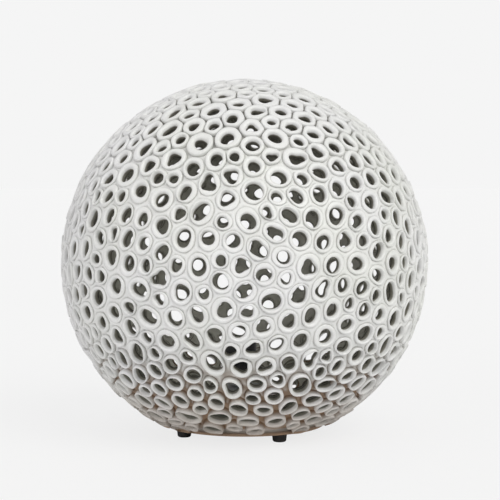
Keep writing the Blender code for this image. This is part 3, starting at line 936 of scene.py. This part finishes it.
def glaze_material():
    f = Finish("satin_white_glaze")
    place = f.split(f.place)
    groove = f.attribute("groove")
    gap = f.attribute("gap")
    sunk = f.attribute("sunk")
    cloud = f.noise(f.place, 9.0, 2.0)
    mottle = f.noise(f.place, 55.0, 4.0, 0.6)
    grain = f.grain(520.0, 0.5)
    white = f.mix_colour(f.ramp(cloud, 0.35, 0.65), (0.785, 0.79, 0.765), (0.80, 0.80, 0.80))
    white = f.mix_colour(f.ramp(mottle, 0.35, 0.75, 0.0, 0.38), white, (0.69, 0.69, 0.66))
    white = f.mix_colour(f.ramp(grain, 0.30, 0.05, 0.0, 0.55), white, (0.34, 0.32, 0.28))
    low = f.ramp(place[2], CENTRE - 0.045, CENTRE - 0.165)
    # Painted shade: a grey line along the groove at the foot of each ring, turning brown towards the base
    groove_shade = f.mix_colour(low, (0.40, 0.40, 0.37), (0.24, 0.16, 0.11))
    line = f.ramp(f.times(groove, f.ramp(mottle, 0.2, 0.6, 0.6, 1.0)), 0.08, 1.0, 0.0, 0.6)
    colour = f.mix_colour(line, white, groove_shade)
    rim = f.ramp(place[2], BASE_PLANE + 4.5 * MM, BASE_PLANE + 2.5 * MM)
    clay = f.mix_colour(f.ramp(mottle, 0.3, 0.7), (0.31, 0.20, 0.135), (0.41, 0.285, 0.20))
    clay = f.mix_colour(f.ramp(grain, 0.40, 0.15), clay, (0.12, 0.08, 0.055))
    bare = f.mix_colour(low, (0.20, 0.185, 0.155), clay)
    raw = f.math("MAXIMUM", f.ramp(gap, 0.2, 0.8), rim)
    colour = f.mix_colour(raw, colour, bare)
    # Painted shade: the lowest rows made darker and browner towards the base
    base_shade = f.ramp(place[2], CENTRE - 0.11, CENTRE - 0.178, 0.0, 0.42)
    colour = f.mix_colour(base_shade, colour, (0.42, 0.30, 0.20))
    # Inside, where little glaze reached: the holes' far ends, the wall and the floor. The holes' tunnels
    # and the top of the dome are darkened with painted shade.
    aside = f.vector("LENGTH", f.vector("MULTIPLY", f.place, (1.0, 1.0, 0.0)))
    on_floor = f.ramp(aside, PLATE_RADIUS + 0.0005, PLATE_RADIUS - 0.0005)
    on_floor = f.times(on_floor, f.ramp(place[2], BASE_PLANE + 0.010, BASE_PLANE + 0.009))
    on_floor = f.times(on_floor, f.minus(1.0, rim))
    inside = f.ramp(f.plus(sunk, f.times(f.minus(mottle, 0.5), 0.15)), 0.20, 0.42)
    inside = f.math("MAXIMUM", inside, on_floor)
    inner = f.mix_colour(f.ramp(mottle, 0.3, 0.7), (0.64, 0.635, 0.57), (0.56, 0.555, 0.49))
    # Painted shade: the deeper part of each hole's tunnel made darker than the wall inside
    hole_shade = f.times(f.ramp(sunk, 0.98, 0.88), f.minus(1.0, on_floor))
    inner = f.mix_colour(hole_shade, inner, (0.26, 0.25, 0.21))
    # Painted shade: the inside of the wall made darker towards the top of the dome
    dome_shade = f.ramp(place[2], CENTRE + 0.06, CENTRE + 0.14, 0.0, 0.7)
    inner = f.mix_colour(dome_shade, inner, (0.16, 0.15, 0.125))
    colour = f.mix_colour(inside, colour, inner)
    f.set(Base_Color=colour)
    rough = f.mix(inside, f.ramp(mottle, 0.3, 0.8, 0.34, 0.5), 0.85)
    f.set(Roughness=f.mix(raw, rough, 0.9))
    swell = f.times(f.noise(f.place, 120.0, 2.0), 0.8)
    f.bump(f.times_plus(grain, f.mix(raw, 0.3, 0.9), swell), 0.0005, 0.4)
    return f.material


def metal(name, clean, dull, roughness):
    """A plated or bare metal: bright on rubbed edges, duller and rougher in patches."""
    f = Finish(name, Metallic=1.0)
    grain = f.grain(700.0, 0.15)
    worn = f.wear(0.0004, 140.0)
    dust = f.dust(70.0, 0.25)
    patch = f.ramp(f.noise(f.place, 46.0, 4.0, 0.65), 0.38, 0.68)
    colour = f.mix_colour(patch, clean, dull)
    colour = f.mix_colour(f.times(worn, 0.8), colour, tuple(min(1.0, c * 1.25) for c in clean))
    colour = f.mix_colour(dust, colour, (0.30, 0.29, 0.27))
    f.set(Base_Color=colour)
    rough = f.times_plus(patch, 0.16, f.ramp(grain, 0.25, 0.75, roughness - 0.06, roughness + 0.08))
    rough = f.mix(worn, rough, max(0.12, roughness - 0.12))
    f.set(Roughness=f.mix(dust, rough, 0.85))
    f.bump(grain, 0.00006, 0.35)
    return f.material


def moulded(name, colour, roughness, grain_scale, pits, dusty, coat=0.0, bump=0.0001):
    """A black moulding, with a fine moulded grain, scuffed edges and a little dust on top."""
    f = Finish(name, Coat_Weight=coat, Coat_Roughness=0.25)
    grain = f.grain(grain_scale, pits)
    worn = f.wear(0.0005, 110.0)
    dust = f.dust(80.0, dusty)
    tone = f.mix_colour(f.ramp(grain, 0.3, 0.7), colour, tuple(c * 1.7 for c in colour))
    tone = f.mix_colour(f.times(worn, 0.5), tone, (0.055, 0.053, 0.05))
    tone = f.mix_colour(dust, tone, (0.10, 0.097, 0.09))
    f.set(Base_Color=tone)
    smear = f.ramp(f.noise(f.place, 60.0, 3.0), 0.35, 0.65, roughness - 0.05, roughness + 0.07)
    rough = f.mix(worn, smear, min(0.9, roughness + 0.2))
    f.set(Roughness=f.mix(dust, rough, 0.9))
    f.bump(grain, bump, 0.5)
    return f.material


def foam_material():
    f = Finish("closed_cell_foam", Roughness=0.95)
    grain = f.grain(900.0, 1.0)
    dust = f.dust(120.0, 0.2)
    colour = f.mix_colour(f.ramp(grain, 0.0, 0.7), (0.006, 0.006, 0.006), (0.030, 0.030, 0.031))
    f.set(Base_Color=f.mix_colour(dust, colour, (0.09, 0.088, 0.082)))
    f.bump(grain, 0.0003, 0.8)
    return f.material


def porcelain_material():
    f = Finish("glazed_porcelain", Coat_Weight=0.5, Coat_Roughness=0.08)
    grain = f.grain(600.0, 0.4)
    dust = f.dust(90.0, 0.35)
    worn = f.wear(0.0006, 120.0)
    cloud = f.ramp(f.noise(f.place, 40.0, 3.0), 0.35, 0.65)
    colour = f.mix_colour(cloud, (0.83, 0.82, 0.78), (0.77, 0.755, 0.70))
    colour = f.mix_colour(f.ramp(grain, 0.25, 0.05, 0.0, 0.5), colour, (0.35, 0.30, 0.24))
    colour = f.mix_colour(f.times(worn, 0.25), colour, (0.62, 0.58, 0.50))
    f.set(Base_Color=f.mix_colour(dust, colour, (0.42, 0.40, 0.36)))
    f.set(Roughness=f.mix(dust, f.ramp(grain, 0.2, 0.8, 0.18, 0.30), 0.8))
    f.bump(grain, 0.0001, 0.4)
    return f.material


glaze = glaze_material()
zinc = metal("bright_zinc_plate", (0.62, 0.63, 0.65), (0.50, 0.51, 0.52), 0.36)
nickel = metal("satin_nickel_plate", (0.66, 0.63, 0.57), (0.52, 0.48, 0.41), 0.27)
brass = metal("machined_brass", (0.72, 0.55, 0.25), (0.48, 0.33, 0.15), 0.34)
bronze = metal("spring_bronze_strip", (0.68, 0.42, 0.22), (0.45, 0.26, 0.14), 0.33)
rubber = moulded("black_bumper_rubber", (0.010, 0.010, 0.010), 0.62, 650.0, 0.3, 0.15, bump=0.00012)
sleeve_rubber = moulded("well_nut_rubber", (0.013, 0.013, 0.013), 0.70, 500.0, 0.3, 0.25, bump=0.00012)
phenolic = moulded("black_phenolic_resin", (0.006, 0.006, 0.0065), 0.30, 800.0, 0.05, 0.30, 0.25, 0.00004)
nylon = moulded("black_nylon_moulding", (0.014, 0.014, 0.014), 0.48, 900.0, 0.1, 0.2)
foam = foam_material()
porcelain = porcelain_material()


def fit(piece, finish, body, node):
    """Gives a new piece its finish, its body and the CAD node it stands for."""
    piece.data.materials.clear()
    piece.data.materials.append(finish)
    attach(piece, body)
    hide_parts(node)


for piece in GLOBE_PIECES:
    fit(piece, glaze, "globe", "ceramic_globe")
for name in FEET:
    fit(PIECES[name], rubber, "globe", "foot_" + name)
for number in (1, 2, 3):
    screw = f"thumb_screw_{number}"
    sleeve = f"sleeve_{number}"
    insert = f"insert_{number}"
    fit(PIECES[f"thumb_{number}"], zinc, screw, screw)
    fit(PIECES[sleeve], sleeve_rubber, "globe", "well_nut_" + sleeve)
    fit(PIECES[insert], brass, "globe", "well_nut_" + insert)
for key, finish, node, slot in (
    ("pan", zinc, "base_pan", "zinc_plate"),
    ("gasket", foam, "flange_gasket", "black_foam"),
    ("tube", zinc, "threaded_tube", "zinc_plate"),
    ("washer", zinc, "plain_washer", "zinc_plate"),
    ("top_hex_nut", zinc, "upper_nut", "zinc_plate"),
    ("under_hex_nut", zinc, "lower_nut", "zinc_plate"),
    ("bushing", nylon, "tube_bushing", "black_nylon"),
    ("cap", phenolic, "holder_cap", "black_phenolic"),
    ("body", phenolic, "holder_body", "black_phenolic"),
    ("disc", porcelain, "porcelain_insert", "porcelain"),
    ("shell", nickel, "screw_shell", "nickel_plate"),
):
    fit(PIECES[key], finish, "lamp_base", node)

# The small CAD parts that keep their shape
for node, finish in (
    ("toothed_washer", zinc),
    ("holder_grub_screw", zinc),
    ("live_terminal", brass),
    ("neutral_terminal", brass),
    ("live_terminal_screw", zinc),
    ("neutral_terminal_screw", zinc),
    ("shell_rivet", nickel),
    ("contact_rivet", nickel),
    ("centre_contact", bronze),
):
    for place in bpy.data.objects[node].material_slots:
        place.material = finish

# ---------------------------------------------------------------- floor, light and camera

VIEW_DISTANCE = 1.60
VIEW_RISE = math.radians(3.4)
SILHOUETTE = 0.1995
PICTURE = 500.0
SILHOUETTE_SHARE = 184.0 / PICTURE

camera_data = bpy.data.cameras.new("camera")
camera = add_object("camera", camera_data)
back = Vector((0, -math.cos(VIEW_RISE), math.sin(VIEW_RISE)))
camera.location = Vector((0, 0, CENTRE)) + back * VIEW_DISTANCE
camera.rotation_mode = "QUATERNION"
camera.rotation_quaternion = (-back).to_track_quat("-Z", "Y")
camera_data.sensor_width = 36.0
camera_data.lens = 36.0 * SILHOUETTE_SHARE / math.tan(math.asin(SILHOUETTE / VIEW_DISTANCE))
camera_data.shift_x = 5.4 / PICTURE
camera_data.shift_y = 12.0 / PICTURE
camera_data.clip_start = 0.05
camera_data.clip_end = 100.0
bpy.context.scene.camera = camera
bpy.context.scene.view_settings.view_transform = "Standard"


def make_floor():
    shape = bmesh.new()
    bmesh.ops.create_grid(shape, x_segments=1, y_segments=1, size=30.0)
    floor = add_mesh("floor", shape)
    f = Finish("pale_floor", Roughness=0.9, Specular_IOR_Level=0.1)
    seen = f.node("ShaderNodeLightPath").outputs["Is Camera Ray"]
    pale = f.mix_colour(f.noise(f.place, 0.6), (0.925, 0.925, 0.925), (0.93, 0.93, 0.93))
    f.set(Base_Color=f.mix_colour(seen, pale, (0.12, 0.12, 0.12)))
    f.shader.inputs["Emission Color"].default_value = (1, 1, 1, 1)
    f.set(Emission_Strength=f.times(seen, 0.789))
    # Clear from below, so that the underside can be looked at
    f.set(Alpha=f.minus(1.0, f.node("ShaderNodeNewGeometry").outputs["Backfacing"]))
    floor.data.materials.append(f.material)


def make_light():
    world = bpy.data.worlds.new("studio")
    bpy.context.scene.world = world
    world.use_nodes = True
    w = Tree(world.node_tree)
    ground = world.node_tree.nodes["Background"]
    seen = w.node("ShaderNodeLightPath").outputs["Is Camera Ray"]
    w.join(w.mix(seen, 0.54, 0.913), ground.inputs["Strength"])
    ground.inputs["Color"].default_value = (1, 1, 1, 1)

    def sun(name, energy, azimuth, height, spread, colour):
        lamp = bpy.data.lights.new(name, "SUN")
        lamp.energy = energy
        lamp.angle = math.radians(spread)
        lamp.color = colour
        made = add_object(name, lamp)
        a, h = math.radians(azimuth), math.radians(height)
        towards = Vector((math.sin(a) * math.cos(h), -math.cos(a) * math.cos(h), math.sin(h)))
        made.rotation_mode = "QUATERNION"
        made.rotation_quaternion = towards.to_track_quat("Z", "Y")

    sun("key_light", 1.46, 40.0, 42.0, 45.0, (1.0, 1.0, 0.965))
    sun("fill_light", 0.72, -50.0, 12.0, 50.0, (0.98, 0.95, 1.0))


make_floor()
make_light()
